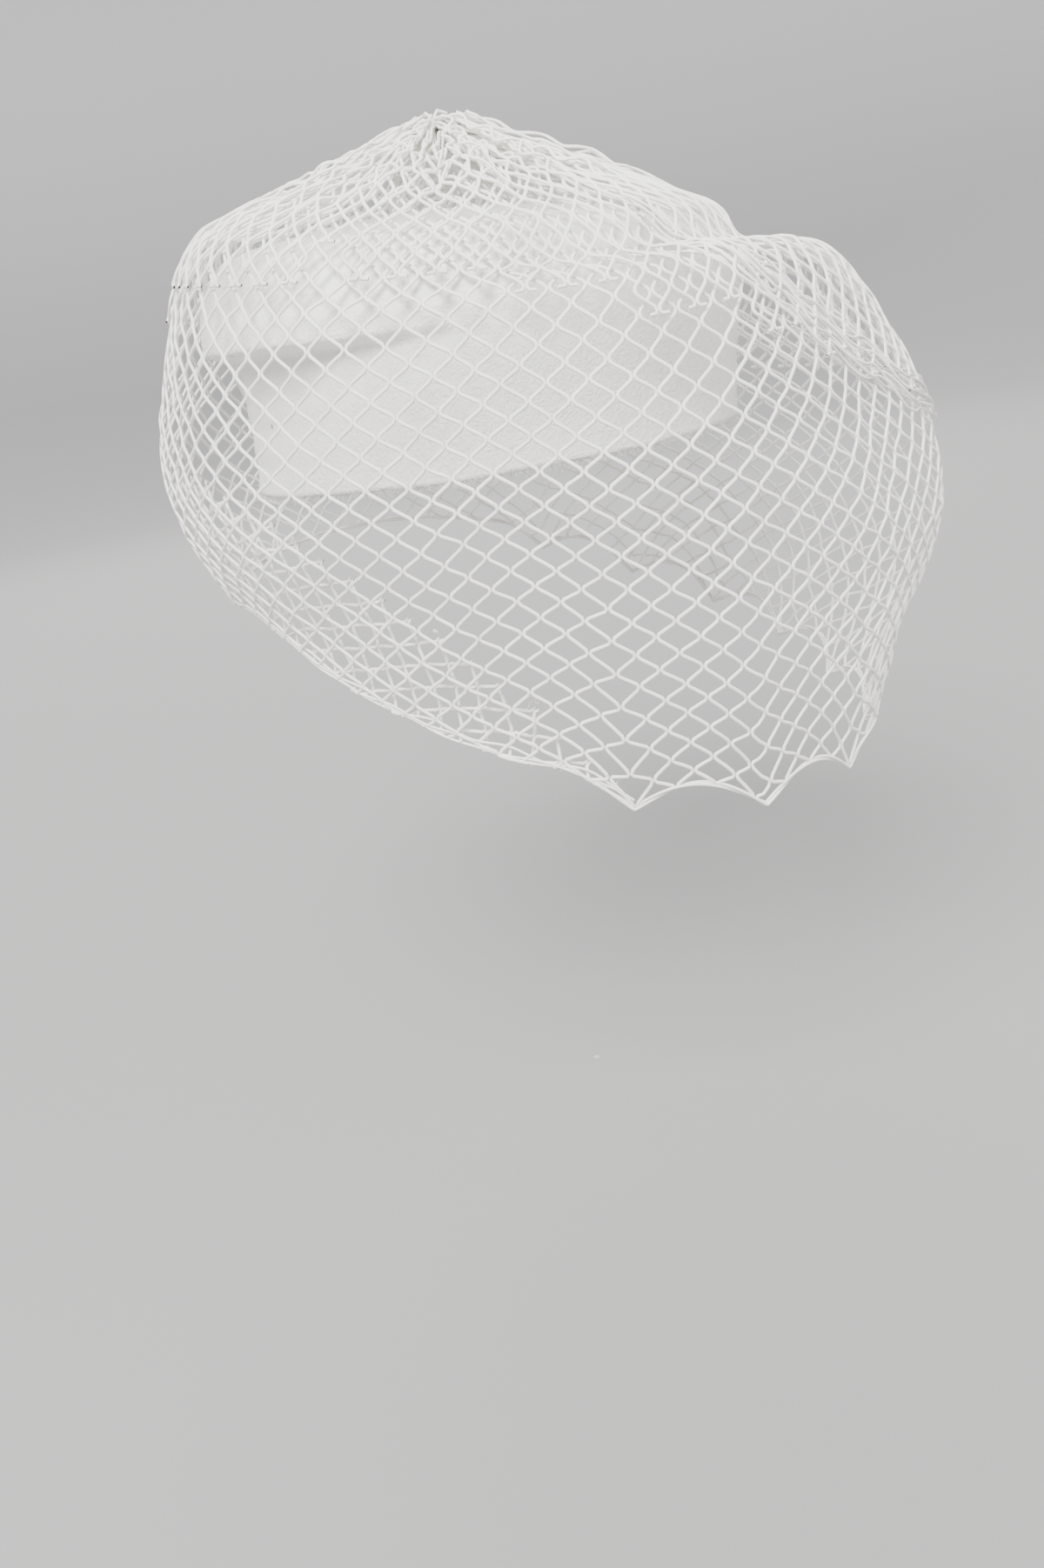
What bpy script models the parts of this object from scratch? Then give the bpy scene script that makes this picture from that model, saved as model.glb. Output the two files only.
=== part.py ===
"""Pillbox hat: a blocked felt crown under a wide-mesh net veil.

Metres, +Z up. The front of the hat looks along -Y and +X is the wearer's left.
The origin is the centre of the rim, where the hat sits on the head.
Azimuths are in degrees from the front, positive towards the wearer's left.
"""
import math

import bmesh
import bpy
from mathutils import Vector

# Felt crown
CROWN_WIDTH = 0.146
CROWN_LENGTH = 0.156
CROWN_HEIGHT = 0.064
CROWN_DOME = 0.006
CROWN_TILT = 0.0055
CROWN_LOW_AZIMUTH = 60
CROWN_FLARE = 0.005
SHOULDER_RADIUS = 0.022
FELT_THICKNESS = 0.0022
CROWN_STEPS = 56
SHOULDER_STEPS = 4
TOP_RINGS = (0.62, 0.28, 0.0)

# Tuck in the felt on the wearer's right
TUCK_DEPTH = 0.008
TUCK_LIP = 0.0035
TUCK_OVERHANG = 0.0012
TUCK_BELOW_SHOULDER = 0.0025
TUCK_HEIGHT = CROWN_HEIGHT - SHOULDER_RADIUS - TUCK_BELOW_SHOULDER - TUCK_LIP
TUCK_SLANT_DEGREES = 35

# Net veil
NET_THICKNESS = 0.0012
NET_STRAND = 0.0055
NET_COLUMNS = 15
CURVE_STEPS = 8
NET_ROW = 0.0168
SEAT_CLEARANCE = 0.0017
PEAK_RISE = 0.023
STAND_OFF = 0.052
VEIL_DROP = 0.098
PLEAT_DEPTH = 0.0020
SCALLOP_DEPTH = 0.008
SCALLOP_DEGREES = 20
SCALLOPS_FROM_AZIMUTH = -27
SCALLOPS_TO_AZIMUTH = 153
GATHER_ROWS = 4
SMALLEST_GAP_SHARE = 0.66
CELL_WIDTH = math.pi * ((CROWN_WIDTH + CROWN_LENGTH) / 2 + STAND_OFF) / NET_COLUMNS

# Line of the veil over the crown, as shares of the crown's flat top and of PEAK_RISE, the angles
# at which it passes round the crown's shoulder, and its height on the wall as a share of the crown's
CREST_RADIUS_SHARE = 0.38
SLOPE_RADIUS_SHARE = 0.78
SLOPE_RISE_SHARE = 0.12
SLOPE_CREST_SHARE = 0.25
SHOULDER_ANGLES = (72, 45, 18)
UPPER_HEIGHT_SHARE = 0.60

# Turned-up edge of the net on the wearer's right
TURN_HEIGHT = 0.040
TURN_GAP = 0.0028
TURN_FROM_AZIMUTH = -108
TURN_TO_AZIMUTH = -12

# How deep the tuck is round the head: azimuth, and depth as a share of TUCK_DEPTH
TUCK_ROUND = (
    (-150, 0.00),
    (-125, 0.45),
    (-104, 0.90),
    (-85, 1.00),
    (-66, 0.95),
    (-50, 0.55),
    (-38, 0.20),
    (-28, 0.00),
)

# How deep it is from the rim up: height as a share of TUCK_HEIGHT, and depth of TUCK_DEPTH
TUCK_RISE = (
    (0.00, 0.15),
    (0.28, 0.42),
    (0.56, 0.74),
    (0.80, 0.95),
    (1.00, 1.00),
)

# Shape of the veil, one row for each azimuth. shoulder, upper, belly and hem are how far the net
# stands off the felt, as shares of STAND_OFF. belly_drop and hem_drop are depths below the rim,
# as shares of VEIL_DROP. crest is the height of the gathered top, as a share of PEAK_RISE.
VEIL_COLUMNS = ("azimuth", "crest", "shoulder", "upper", "belly", "belly_drop", "hem", "hem_drop")
VEIL_SECTIONS = (
    (-180, 0.66, 0.02, 0.28, 0.40, -0.04, 0.13, 0.29),
    (-150, 0.64, 0.08, 0.26, 0.42, -0.05, 0.13, 0.29),
    (-120, 0.62, 0.12, 0.25, 0.42, -0.06, 0.14, 0.32),
    (-90, 0.62, 0.09, 0.20, 0.35, 0.00, 0.12, 0.33),
    (-60, 0.64, 0.04, 0.17, 0.27, 0.06, 0.14, 0.56),
    (-30, 0.66, 0.00, 0.17, 0.25, 0.12, 0.22, 0.80),
    (0, 0.68, 0.02, 0.28, 0.48, 0.20, 0.44, 0.94),
    (30, 0.68, 0.03, 0.44, 0.77, 0.30, 0.50, 0.96),
    (60, 0.68, 0.01, 0.62, 1.00, 0.37, 0.36, 0.88),
    (90, 0.68, 0.02, 0.54, 0.88, 0.30, 0.34, 0.76),
    (120, 0.68, 0.08, 0.42, 0.67, 0.15, 0.28, 0.58),
    (150, 0.68, 0.10, 0.32, 0.50, 0.00, 0.18, 0.39),
)

# Height of the turned-up edge round the head: azimuth, and height as a share of TURN_HEIGHT
TURN_ROUND = (
    (-120, 0.90),
    (-90, 1.00),
    (-70, 0.98),
    (-58, 0.85),
    (-45, 0.62),
    (-30, 0.34),
    (-18, 0.12),
)

FELT_COLOUR = (0.93, 0.925, 0.90, 1.0)
NET_COLOUR = (0.94, 0.935, 0.905, 1.0)


def blend(low, high, share):
    """Value between low and high on a smooth step."""
    share = min(1.0, max(0.0, share))
    return low + (high - low) * share * share * (3.0 - 2.0 * share)


def from_table(rows, key, column=1):
    """Read one column of a table at a key, smoothly between its rows and level beyond them."""
    if key <= rows[0][0]:
        return rows[0][column]
    for lower, upper in zip(rows, rows[1:]):
        if key <= upper[0]:
            return blend(lower[column], upper[column], (key - lower[0]) / (upper[0] - lower[0]))
    return rows[-1][column]


def wrapped(azimuth):
    """The same azimuth between -180 and 180."""
    return (azimuth + 180.0) % 360.0 - 180.0


def plan_radius(azimuth):
    """Radius of the oval rim at an azimuth."""
    angle = math.radians(azimuth)
    across = math.sin(angle) / (CROWN_WIDTH / 2)
    along = math.cos(angle) / (CROWN_LENGTH / 2)
    return 1.0 / math.hypot(across, along)


def azimuth_of(column):
    """Azimuth of a column of the net, counted from the back."""
    return 360.0 * column / NET_COLUMNS - 180.0


def place(radius, azimuth, height):
    """Point at a radius, azimuth and height."""
    angle = math.radians(azimuth)
    return Vector((radius * math.sin(angle), -radius * math.cos(angle), height))


def tilt(azimuth, radius, height):
    """Change of height that leans the crown's top down towards its low side."""
    share = height / CROWN_HEIGHT
    reach = 2 * radius / CROWN_LENGTH
    return -CROWN_TILT * share * share * reach * math.cos(math.radians(azimuth - CROWN_LOW_AZIMUTH))


def new_object(name, mesh, collection, colour, roughness):
    """Object with its own plain material, in a collection."""
    material = bpy.data.materials.new(name)
    material.use_nodes = True
    shader = material.node_tree.nodes["Principled BSDF"]
    shader.inputs["Base Color"].default_value = colour
    shader.inputs["Roughness"].default_value = roughness
    shader.inputs["Metallic"].default_value = 0.0
    mesh.materials.append(material)
    mesh.shade_smooth()
    made = bpy.data.objects.new(name, mesh)
    collection.objects.link(made)
    return made


def thicken(made, thickness, offset):
    """Give an open surface its thickness."""
    solidify = made.modifiers.new("thickness", "SOLIDIFY")
    solidify.thickness = thickness
    solidify.offset = offset
    solidify.use_even_offset = True
    solidify.use_quality_normals = True


def crown_profile():
    """Outer line of the crown from the rim up to the middle of the top, at its mean radius."""
    mean_radius = (CROWN_WIDTH + CROWN_LENGTH) / 4
    wall_top = CROWN_HEIGHT - SHOULDER_RADIUS
    heights = [share * TUCK_HEIGHT for share, _ in TUCK_RISE]
    heights += [TUCK_HEIGHT + TUCK_LIP, wall_top]
    points = [(mean_radius + blend(0.0, CROWN_FLARE, height / wall_top), height) for height in heights]
    flat_radius = mean_radius + CROWN_FLARE - SHOULDER_RADIUS
    for step in range(1, SHOULDER_STEPS + 1):
        angle = math.pi / 2 * step / SHOULDER_STEPS
        points.append((flat_radius + SHOULDER_RADIUS * math.cos(angle),
                       wall_top + SHOULDER_RADIUS * math.sin(angle)))
    for share in TOP_RINGS:
        points.append((flat_radius * share, CROWN_HEIGHT + CROWN_DOME * (1.0 - share * share)))
    return points


def tuck(azimuth, height):
    """How far the felt is pushed in below the tuck, or stands out over it."""
    if height > TUCK_HEIGHT + TUCK_LIP / 2:
        lip_share = max(0.0, 1.0 - (height - TUCK_HEIGHT - TUCK_LIP) / TUCK_HEIGHT)
        return -TUCK_OVERHANG * lip_share * from_table(TUCK_ROUND, azimuth)
    height_share = height / TUCK_HEIGHT
    reach = from_table(TUCK_ROUND, azimuth + TUCK_SLANT_DEGREES * (1.0 - height_share))
    return TUCK_DEPTH * from_table(TUCK_RISE, height_share) * reach


def make_crown(collection):
    """Felt crown: the profile turned round the head, drawn out to an oval and tucked."""
    form = bmesh.new()
    line = [form.verts.new((radius, 0.0, height)) for radius, height in crown_profile()]
    edges = [form.edges.new(pair) for pair in zip(line, line[1:])]
    bmesh.ops.spin(form, geom=line + edges, cent=(0, 0, 0), axis=(0, 0, 1), angle=2 * math.pi,
                   steps=CROWN_STEPS, use_merge=True)
    bmesh.ops.remove_doubles(form, verts=form.verts, dist=1e-6)
    mean_radius = (CROWN_WIDTH + CROWN_LENGTH) / 4
    for vert in form.verts:
        radius = math.hypot(vert.co.x, vert.co.y)
        azimuth = math.degrees(math.atan2(vert.co.x, -vert.co.y))
        radius *= plan_radius(azimuth) / mean_radius
        if vert.co.z < CROWN_HEIGHT:
            radius -= tuck(azimuth, vert.co.z)
        vert.co = place(radius, azimuth, vert.co.z + tilt(azimuth, radius, vert.co.z))
    bmesh.ops.recalc_face_normals(form, faces=form.faces)
    mesh = bpy.data.meshes.new("crown")
    form.to_mesh(mesh)
    form.free()
    crown = new_object("crown", mesh, collection, FELT_COLOUR, 0.95)
    thicken(crown, FELT_THICKNESS, -1.0)
    return crown


def through(before, start, end, after, share):
    """Value between start and end on a smooth curve that passes through all four."""
    return 0.5 * (2 * start + (end - before) * share
                  + (2 * before - 5 * start + 4 * end - after) * share ** 2
                  + (3 * start - before - 3 * end + after) * share ** 3)


def veil_row(azimuth):
    """The veil's table at an azimuth, as a dictionary of its columns, on smooth curves round it."""
    count = len(VEIL_SECTIONS)
    spot = (wrapped(azimuth) - VEIL_SECTIONS[0][0]) * count / 360.0
    lower = math.floor(spot)
    rows = [VEIL_SECTIONS[(lower + step) % count] for step in (-1, 0, 1, 2)]
    return {name: through(*(row[column] for row in rows), spot - lower)
            for column, name in enumerate(VEIL_COLUMNS) if column}


def scallop(azimuth):
    """Depth of the scallops in the veil's hem, 0 at a crest and 1 at a point."""
    turn = wrapped(azimuth) - SCALLOPS_FROM_AZIMUTH
    if not 0 <= turn <= SCALLOPS_TO_AZIMUTH - SCALLOPS_FROM_AZIMUTH:
        return 0.0
    return 1.0 - abs(math.cos(math.pi * turn / SCALLOP_DEGREES))


def veil_controls(azimuth):
    """Radius and height of the points that the net passes through, from the middle to the hem."""
    row = veil_row(azimuth)
    felt = plan_radius(azimuth) + CROWN_FLARE
    flat_radius = felt - SHOULDER_RADIUS
    wall_top = CROWN_HEIGHT - SHOULDER_RADIUS
    crown_top = CROWN_HEIGHT + CROWN_DOME
    over = SHOULDER_RADIUS + SEAT_CLEARANCE + NET_THICKNESS / 2 + row["shoulder"] * STAND_OFF
    hem_depth = row["hem_drop"] * VEIL_DROP + SCALLOP_DEPTH * (scallop(azimuth) - 0.5)
    points = [
        (0.0, crown_top + PEAK_RISE),
        (CREST_RADIUS_SHARE * flat_radius, crown_top + row["crest"] * PEAK_RISE),
        (SLOPE_RADIUS_SHARE * flat_radius,
         crown_top + (SLOPE_RISE_SHARE + SLOPE_CREST_SHARE * row["crest"]) * PEAK_RISE),
    ]
    first_open = len(points)
    for angle in SHOULDER_ANGLES:
        lift = math.radians(angle)
        points.append((flat_radius + over * math.cos(lift), wall_top + over * math.sin(lift)))
    points += [
        (felt + row["upper"] * STAND_OFF, UPPER_HEIGHT_SHARE * CROWN_HEIGHT),
        (felt + row["belly"] * STAND_OFF, -row["belly_drop"] * VEIL_DROP),
        (felt + row["hem"] * STAND_OFF, -hem_depth),
    ]
    leaned = [Vector((radius, height + tilt(azimuth, radius, max(0.0, height)), 0.0))
              for radius, height in points]
    return leaned, first_open


def veil_curve(azimuth):
    """The net's line at an azimuth, the lengths along it, and the length at which the net is open."""
    controls, first_open = veil_controls(azimuth)
    opposite = Vector((-controls[1].x, controls[1].y, 0.0))
    padded = [opposite] + controls + [2 * controls[-1] - controls[-2]]
    line = []
    for before, start, end, after in zip(padded, padded[1:], padded[2:], padded[3:]):
        for step in range(CURVE_STEPS):
            line.append(through(before, start, end, after, step / CURVE_STEPS))
    line.append(controls[-1])
    lengths = [0.0]
    for start, end in zip(line, line[1:]):
        lengths.append(lengths[-1] + (end - start).length)
    return line, lengths, lengths[first_open * CURVE_STEPS]


class Veil:
    """The veil's surface: columns round the head, and lengths down the net from its gather."""

    def __init__(self):
        self.curves = {}

    def curve(self, column):
        """Curve at a column, worked out once."""
        if column not in self.curves:
            self.curves[column] = veil_curve(azimuth_of(column))
        return self.curves[column]

    def open_length(self, column):
        """Length of the open net from the shoulder to the hem."""
        _, lengths, start = self.curve(column)
        return lengths[-1] - start

    def point(self, column, down, inward=0.0):
        """Point on the net. down is a length below the shoulder, or the share of the top, negative."""
        line, lengths, start = self.curve(column)
        along = start + down if down >= 0.0 else start * (1.0 + down)
        along = min(max(along, 0.0), lengths[-1])
        index = max(i for i, length in enumerate(lengths[:-1]) if length <= along)
        share = (along - lengths[index]) / (lengths[index + 1] - lengths[index])
        radius, height, _ = line[index].lerp(line[index + 1], share)
        if down < 0.0:
            height += PLEAT_DEPTH * math.cos(2 * math.pi * column) * math.sin(math.pi * -down)
        return place(radius - inward, azimuth_of(column), height)


# Corners of a cell round its middle, in quarters of a column and halves of a row
CELL_OUTLINE = ((0, -2), (-1, -1), (-2, 0), (-1, 1), (0, 2), (1, 1), (2, 0), (1, -1))


def lay_cells(form, middles, length, spot):
    """Lay diamond cells between the top line and length(column), and pierce the large ones.

    They are worked out flat and then placed by spot(column, down). middles are the cells' middles,
    in quarters of a column and whole rows. Corners are kept by quarter columns and half rows, so
    that neighbours share them. A corner that falls past either line is drawn back to it, and one
    that falls just short of the hem is drawn out to it.
    """
    flat = bmesh.new()
    corners = {}
    pierced = []
    for middle, row in middles:
        cell = []
        for across, down in CELL_OUTLINE:
            quarter = middle + across
            depth = (2 * row + down) * NET_ROW / 2
            limit = length(quarter / 4)
            if depth <= 0:
                level = "top"
            elif depth >= limit - NET_STRAND / 2:
                level = "hem"
            else:
                level = 2 * row + down
            key = (quarter, level)
            if key not in corners:
                at = {"top": 0.0, "hem": limit}.get(level, depth)
                corners[key] = flat.verts.new((quarter / 4 * CELL_WIDTH, -at, 0.0))
            cell.append(corners[key])
        cell = without_spurs(cell)
        if len(cell) < 3:
            continue
        face = flat.faces.new(cell)
        if face.calc_area() > SMALLEST_GAP_SHARE * CELL_WIDTH * NET_ROW:
            pierced.append(face)
    flat.normal_update()
    bmesh.ops.inset_individual(flat, faces=pierced, thickness=NET_STRAND / 2, use_even_offset=True)
    bmesh.ops.delete(flat, geom=pierced, context="FACES")
    unused = [vert for vert in flat.verts if not vert.link_faces]
    bmesh.ops.delete(flat, geom=unused, context="VERTS")
    for vert in flat.verts:
        vert.co = spot(vert.co.x / CELL_WIDTH, max(0.0, -vert.co.y))
    placed = bpy.data.meshes.new("cells")
    flat.to_mesh(placed)
    flat.free()
    form.from_mesh(placed)
    bpy.data.meshes.remove(placed)


def without_spurs(cell):
    """Drop repeated corners, and corners that a cell's line goes out to and straight back from."""
    changed = True
    while changed and len(cell) >= 3:
        changed = False
        for index in range(len(cell)):
            here, following = cell[index], cell[(index + 1) % len(cell)]
            beyond = cell[(index + 2) % len(cell)]
            if here is following:
                cell = [vert for spot, vert in enumerate(cell) if spot != index]
                changed = True
                break
            if here is beyond:
                gone = {(index + 1) % len(cell), (index + 2) % len(cell)}
                cell = [vert for spot, vert in enumerate(cell) if spot not in gone]
                changed = True
                break
    return cell


def lay_turned_edge(form, veil):
    """Lay the fold under the hem on the wearer's right, and the strip of net turned up inside it."""

    def height(column):
        return TURN_HEIGHT * from_table(TURN_ROUND, azimuth_of(column))

    def spot(column, up):
        return veil.point(column, veil.open_length(column) - up, TURN_GAP)

    first = round((TURN_FROM_AZIMUTH + 180) * NET_COLUMNS / 360)
    last = round((TURN_TO_AZIMUTH + 180) * NET_COLUMNS / 360)
    rows = math.ceil(TURN_HEIGHT / NET_ROW)
    middles = [(4 * column + 2, row) for row in range(0, rows + 1, 2) for column in range(first, last)]
    middles += [(4 * column, row) for row in range(1, rows + 1, 2) for column in range(first + 1, last)]
    lay_cells(form, middles, height, spot)
    for quarter in range(4 * first, 4 * last):
        columns = quarter / 4, (quarter + 1) / 4
        hem = [veil.point(column, veil.open_length(column)) for column in columns]
        inner = [spot(column, 0.0) for column in reversed(columns)]
        form.faces.new([form.verts.new(place) for place in hem + inner])


def lay_gather(form, veil):
    """Lay the top of the veil, where the net is drawn together in small pleats and left closed."""
    for row in range(GATHER_ROWS):
        outer, inner = -row / GATHER_ROWS, -(row + 1) / GATHER_ROWS
        for quarter in range(4 * NET_COLUMNS):
            ring = [(quarter, outer), (quarter + 1, outer), (quarter + 1, inner), (quarter, inner)]
            spots = [veil.point(column / 4, down) for column, down in ring]
            if row == GATHER_ROWS - 1:
                spots.pop()
            form.faces.new([form.verts.new(spot) for spot in spots])


def make_veil(collection):
    """Net veil: diamond cells laid over the crown, folded up inside the hem on one side."""
    veil = Veil()
    form = bmesh.new()
    rows = math.ceil(max(veil.open_length(step / 4) for step in range(4 * NET_COLUMNS)) / NET_ROW)
    middles = [(4 * column + 2 * ((row + 1) % 2), row)
               for row in range(rows + 1) for column in range(NET_COLUMNS)]
    lay_cells(form, middles, veil.open_length, veil.point)
    lay_turned_edge(form, veil)
    lay_gather(form, veil)
    bmesh.ops.remove_doubles(form, verts=form.verts, dist=1e-6)
    bmesh.ops.recalc_face_normals(form, faces=form.faces)
    mesh = bpy.data.meshes.new("veil")
    form.to_mesh(mesh)
    form.free()
    made = new_object("veil", mesh, collection, NET_COLOUR, 0.6)
    thicken(made, NET_THICKNESS, 0.0)
    return made


for old in list(bpy.data.objects):
    bpy.data.objects.remove(old, do_unlink=True)
hat = bpy.data.collections.new("pillbox_hat")
bpy.context.scene.collection.children.link(hat)
make_crown(hat)
make_veil(hat)
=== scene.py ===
import math

import bpy
import numpy as np
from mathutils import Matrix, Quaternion, Vector, noise


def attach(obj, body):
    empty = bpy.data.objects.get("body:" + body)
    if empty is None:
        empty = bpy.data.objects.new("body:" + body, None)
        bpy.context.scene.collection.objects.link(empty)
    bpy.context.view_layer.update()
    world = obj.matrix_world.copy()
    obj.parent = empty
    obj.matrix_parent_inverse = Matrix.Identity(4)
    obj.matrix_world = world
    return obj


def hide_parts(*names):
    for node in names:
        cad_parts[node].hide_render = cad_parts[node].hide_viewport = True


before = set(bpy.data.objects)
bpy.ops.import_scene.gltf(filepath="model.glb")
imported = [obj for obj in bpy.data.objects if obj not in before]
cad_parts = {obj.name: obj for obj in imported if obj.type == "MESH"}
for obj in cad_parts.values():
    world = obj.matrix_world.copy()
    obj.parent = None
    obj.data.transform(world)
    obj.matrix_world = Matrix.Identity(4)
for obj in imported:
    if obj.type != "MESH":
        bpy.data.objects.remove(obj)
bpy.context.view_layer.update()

# Studio camera: it stands to the wearer's right of the hat's front and a little above the rim,
# looks down on it, and is tipped to the side as a hand-held one is.
EYE = Vector((-0.2314, -0.4151, 0.0398))
AIM = Vector((-0.0182, -0.0146, -0.1008))
TIP = math.radians(-9.98)
LENS_MM = 34.8

lens = bpy.data.cameras.new("camera")
lens.lens = LENS_MM
lens.clip_start = 0.01
camera = bpy.data.objects.new("camera", lens)
camera.location = EYE
camera.rotation_mode = "QUATERNION"
camera.rotation_quaternion = (AIM - EYE).to_track_quat("-Z", "Y") @ Quaternion((0, 0, 1), TIP)
bpy.context.scene.collection.objects.link(camera)
bpy.context.scene.camera = camera


# Studio floor: a wide board painted a flat pale grey, whose edge rises in one smooth sweep all round. Far
# off and high up it is painted paler still. This is painted light that makes up for the dimmer light on
# the rising wall, so that it has no corner and no horizon from any side.
FLOOR_HEIGHT = -0.21
FLOOR_RADIUS = 2.2
SWEEP_RADIUS = 1.4
WALL_TOP = 2.6
FLOOR_COLOUR = (0.27, 0.268, 0.263, 1.0)
WALL_COLOUR = (0.52, 0.517, 0.51, 1.0)
FAR_SHARE = 0.3
PALE_HEIGHT = 0.8
PALE_FROM = 0.3
PALE_TO = 2.4
ROUND_STEPS = 96
SWEEP_STEPS = 24


class Shade:
    """A socket of a material. Arithmetic on it adds Math nodes, and add() makes any other node."""

    def __init__(self, tree, socket=None):
        self.tree = tree
        self.socket = socket

    def add(self, kind, settings=None, values=None, out=0):
        node = self.tree.nodes.new("ShaderNode" + kind)
        for name, value in (settings or {}).items():
            setattr(node, name, value)
        for name, value in (values or {}).items():
            if isinstance(value, Shade):
                self.tree.links.new(value.socket, node.inputs[name])
            else:
                node.inputs[name].default_value = value
        return Shade(self.tree, node.outputs[out])

    def maths(self, operation, first, second=0.0):
        return self.add("Math", {"operation": operation}, {0: first, 1: second})

    def __add__(self, other):
        return self.maths("ADD", self, other)

    __radd__ = __add__

    def __sub__(self, other):
        return self.maths("SUBTRACT", self, other)

    def __rsub__(self, other):
        return self.maths("SUBTRACT", other, self)

    def __mul__(self, other):
        return self.maths("MULTIPLY", self, other)

    __rmul__ = __mul__

    def eased(self, low, high):
        """0 below low and 1 above high, with a soft step between."""
        settings = {"interpolation_type": "SMOOTHSTEP"}
        return self.add("MapRange", settings, {"Value": self, "From Min": low, "From Max": high})

    def mixed(self, first, second):
        """Mix of two colours, with this socket as the share of the second."""
        made = self.add("Mix", {"data_type": "RGBA"}, {"Factor": self}, out=2)
        for name, value in ((6, first), (7, second)):
            socket = made.socket.node.inputs[name]
            if isinstance(value, Shade):
                self.tree.links.new(value.socket, socket)
            else:
                socket.default_value = value
        return made


def finish(name, settings, links=None):
    """Material with a Principled shader: constants on its own sockets, and links(shade) for the rest."""
    material = bpy.data.materials.new(name)
    material.use_nodes = True
    shader = material.node_tree.nodes["Principled BSDF"]
    for socket, value in settings.items():
        shader.inputs[socket].default_value = value
    if links:
        for socket, value in links(Shade(material.node_tree)).items():
            material.node_tree.links.new(value.socket, shader.inputs[socket])
    return material


def grid_mesh(name, grid, material):
    """Object whose quads join a grid of points (row, step round, xyz), closed round."""
    rows, steps = grid.shape[:2]
    index = np.arange(rows * steps).reshape(rows, steps)
    near, far = index[:-1], index[1:]
    quads = np.stack([near, np.roll(near, -1, 1), np.roll(far, -1, 1), far], axis=-1)
    mesh = bpy.data.meshes.new(name)
    mesh.from_pydata(grid.reshape(-1, 3).tolist(), [], quads.reshape(-1, 4).tolist())
    mesh.materials.append(material)
    mesh.shade_smooth()
    made = bpy.data.objects.new(name, mesh)
    bpy.context.scene.collection.objects.link(made)
    return made


def turned(radii, heights, azimuths):
    """Grid of points at radii and heights, which may vary with the azimuth in degrees."""
    radii, heights, angle = np.broadcast_arrays(radii, heights, np.radians(azimuths))
    return np.stack([radii * np.sin(angle), -radii * np.cos(angle), heights], axis=-1)


sweep = np.linspace(0.0, math.pi / 2, SWEEP_STEPS)
floor_radii = np.concatenate([[0.001, 0.5, 1.2], FLOOR_RADIUS + SWEEP_RADIUS * np.sin(sweep)])
floor_radii = np.append(floor_radii, floor_radii[-1])
floor_heights = np.concatenate([[0.0] * 3, SWEEP_RADIUS * (1.0 - np.cos(sweep)), [WALL_TOP]])
floor_azimuths = np.arange(ROUND_STEPS) * 360.0 / ROUND_STEPS


def board_links(shade):
    """The paint, from the grey under the hat to a paler one far off and high up, which is painted light
    that evens out the dimmer light there.
    """
    place = shade.add("TexCoord", out=3)
    away = shade.add("VectorMath", {"operation": "LENGTH"}, {0: place}, out=1)
    height = Shade(shade.tree, shade.add("SeparateXYZ", None, {0: place}).socket.node.outputs[2])
    far_off = away.eased(PALE_FROM, PALE_TO)
    high_up = height.eased(FLOOR_HEIGHT, PALE_HEIGHT)
    # painted light: the board is made paler far off and high up, where less light reaches it
    paler = far_off * FAR_SHARE + high_up * (1 - FAR_SHARE)
    return {"Base Color": paler.mixed(FLOOR_COLOUR, WALL_COLOUR)}


board = finish("painted_board", {"Roughness": 0.9, "Specular IOR Level": 0.1}, board_links)
floor = grid_mesh("floor", turned(floor_radii[:, None], FLOOR_HEIGHT + floor_heights[:, None],
                                  floor_azimuths[None, :]), board)


# Studio light: a large soft lamp high on the camera's left, a weaker one on its right, one
# behind for the edges of the net, and an even white sky over the sweep.
LAMPS = (
    ("key", (-1.30, -1.25, 1.70), 1.3, 165.0),
    ("fill", (1.60, -1.40, 0.80), 1.6, 34.0),
    ("rim", (0.70, 1.60, 1.40), 1.2, 55.0),
)
SKY = (0.95, 0.97, 1.0, 1.0)
SKY_STRENGTH = 1.45

for lamp_name, place, size, power in LAMPS:
    lamp = bpy.data.lights.new(lamp_name, "AREA")
    lamp.size = size
    lamp.energy = power
    stand = bpy.data.objects.new(lamp_name, lamp)
    stand.location = place
    stand.rotation_mode = "QUATERNION"
    stand.rotation_quaternion = (-Vector(place)).to_track_quat("-Z", "Y")
    bpy.context.scene.collection.objects.link(stand)
world = bpy.data.worlds.new("sky")
world.use_nodes = True
world.node_tree.nodes["Background"].inputs["Color"].default_value = SKY
world.node_tree.nodes["Background"].inputs["Strength"].default_value = SKY_STRENGTH
bpy.context.scene.world = world


# Crown: one piece of white wool felt, blocked wet over a wooden drum and dried. On the wearer's
# right its wall is pushed in under a tuck that runs level and dies out towards the front.
CROWN_WIDTH = 0.146
CROWN_LENGTH = 0.156
CROWN_HEIGHT = 0.064
CROWN_DOME = 0.006
CROWN_TILT = 0.0055
CROWN_LOW_SIDE = 60.0
CROWN_FLARE = 0.005
SHOULDER_RADIUS = 0.022
FELT_THICKNESS = 0.0022
FELT_UNEVEN = 0.0007
FELT_WAVE = 0.030
FELT_SEED = 5
FELT_STEPS = 300
WALL_STEPS = 30
LIP_STEPS = 9
BEND_STEPS = 18
TOP_STEPS = 24
TOP_HOLE = 0.012
TUCK_HEIGHT = 0.036
TUCK_DEPTH = 0.008
TUCK_LIP = 0.0035
TUCK_OVERHANG = 0.0012
TUCK_SLANT = 35.0
TUCK_ROUND = (
    (-150, 0.00), (-125, 0.45), (-104, 0.90), (-85, 1.00),
    (-66, 0.95), (-50, 0.55), (-38, 0.20), (-28, 0.00),
)
TUCK_RISE = ((0.00, 0.15), (0.28, 0.42), (0.56, 0.74), (0.80, 0.95), (1.00, 1.00))
FELT_COLOUR = (0.905, 0.895, 0.865, 1.0)
FELT_SHADE = (0.845, 0.83, 0.79, 1.0)
SPECKS = ((-89, 0.0388), (-90, 0.0190))
SPECK_SIZE = 0.0011
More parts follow.
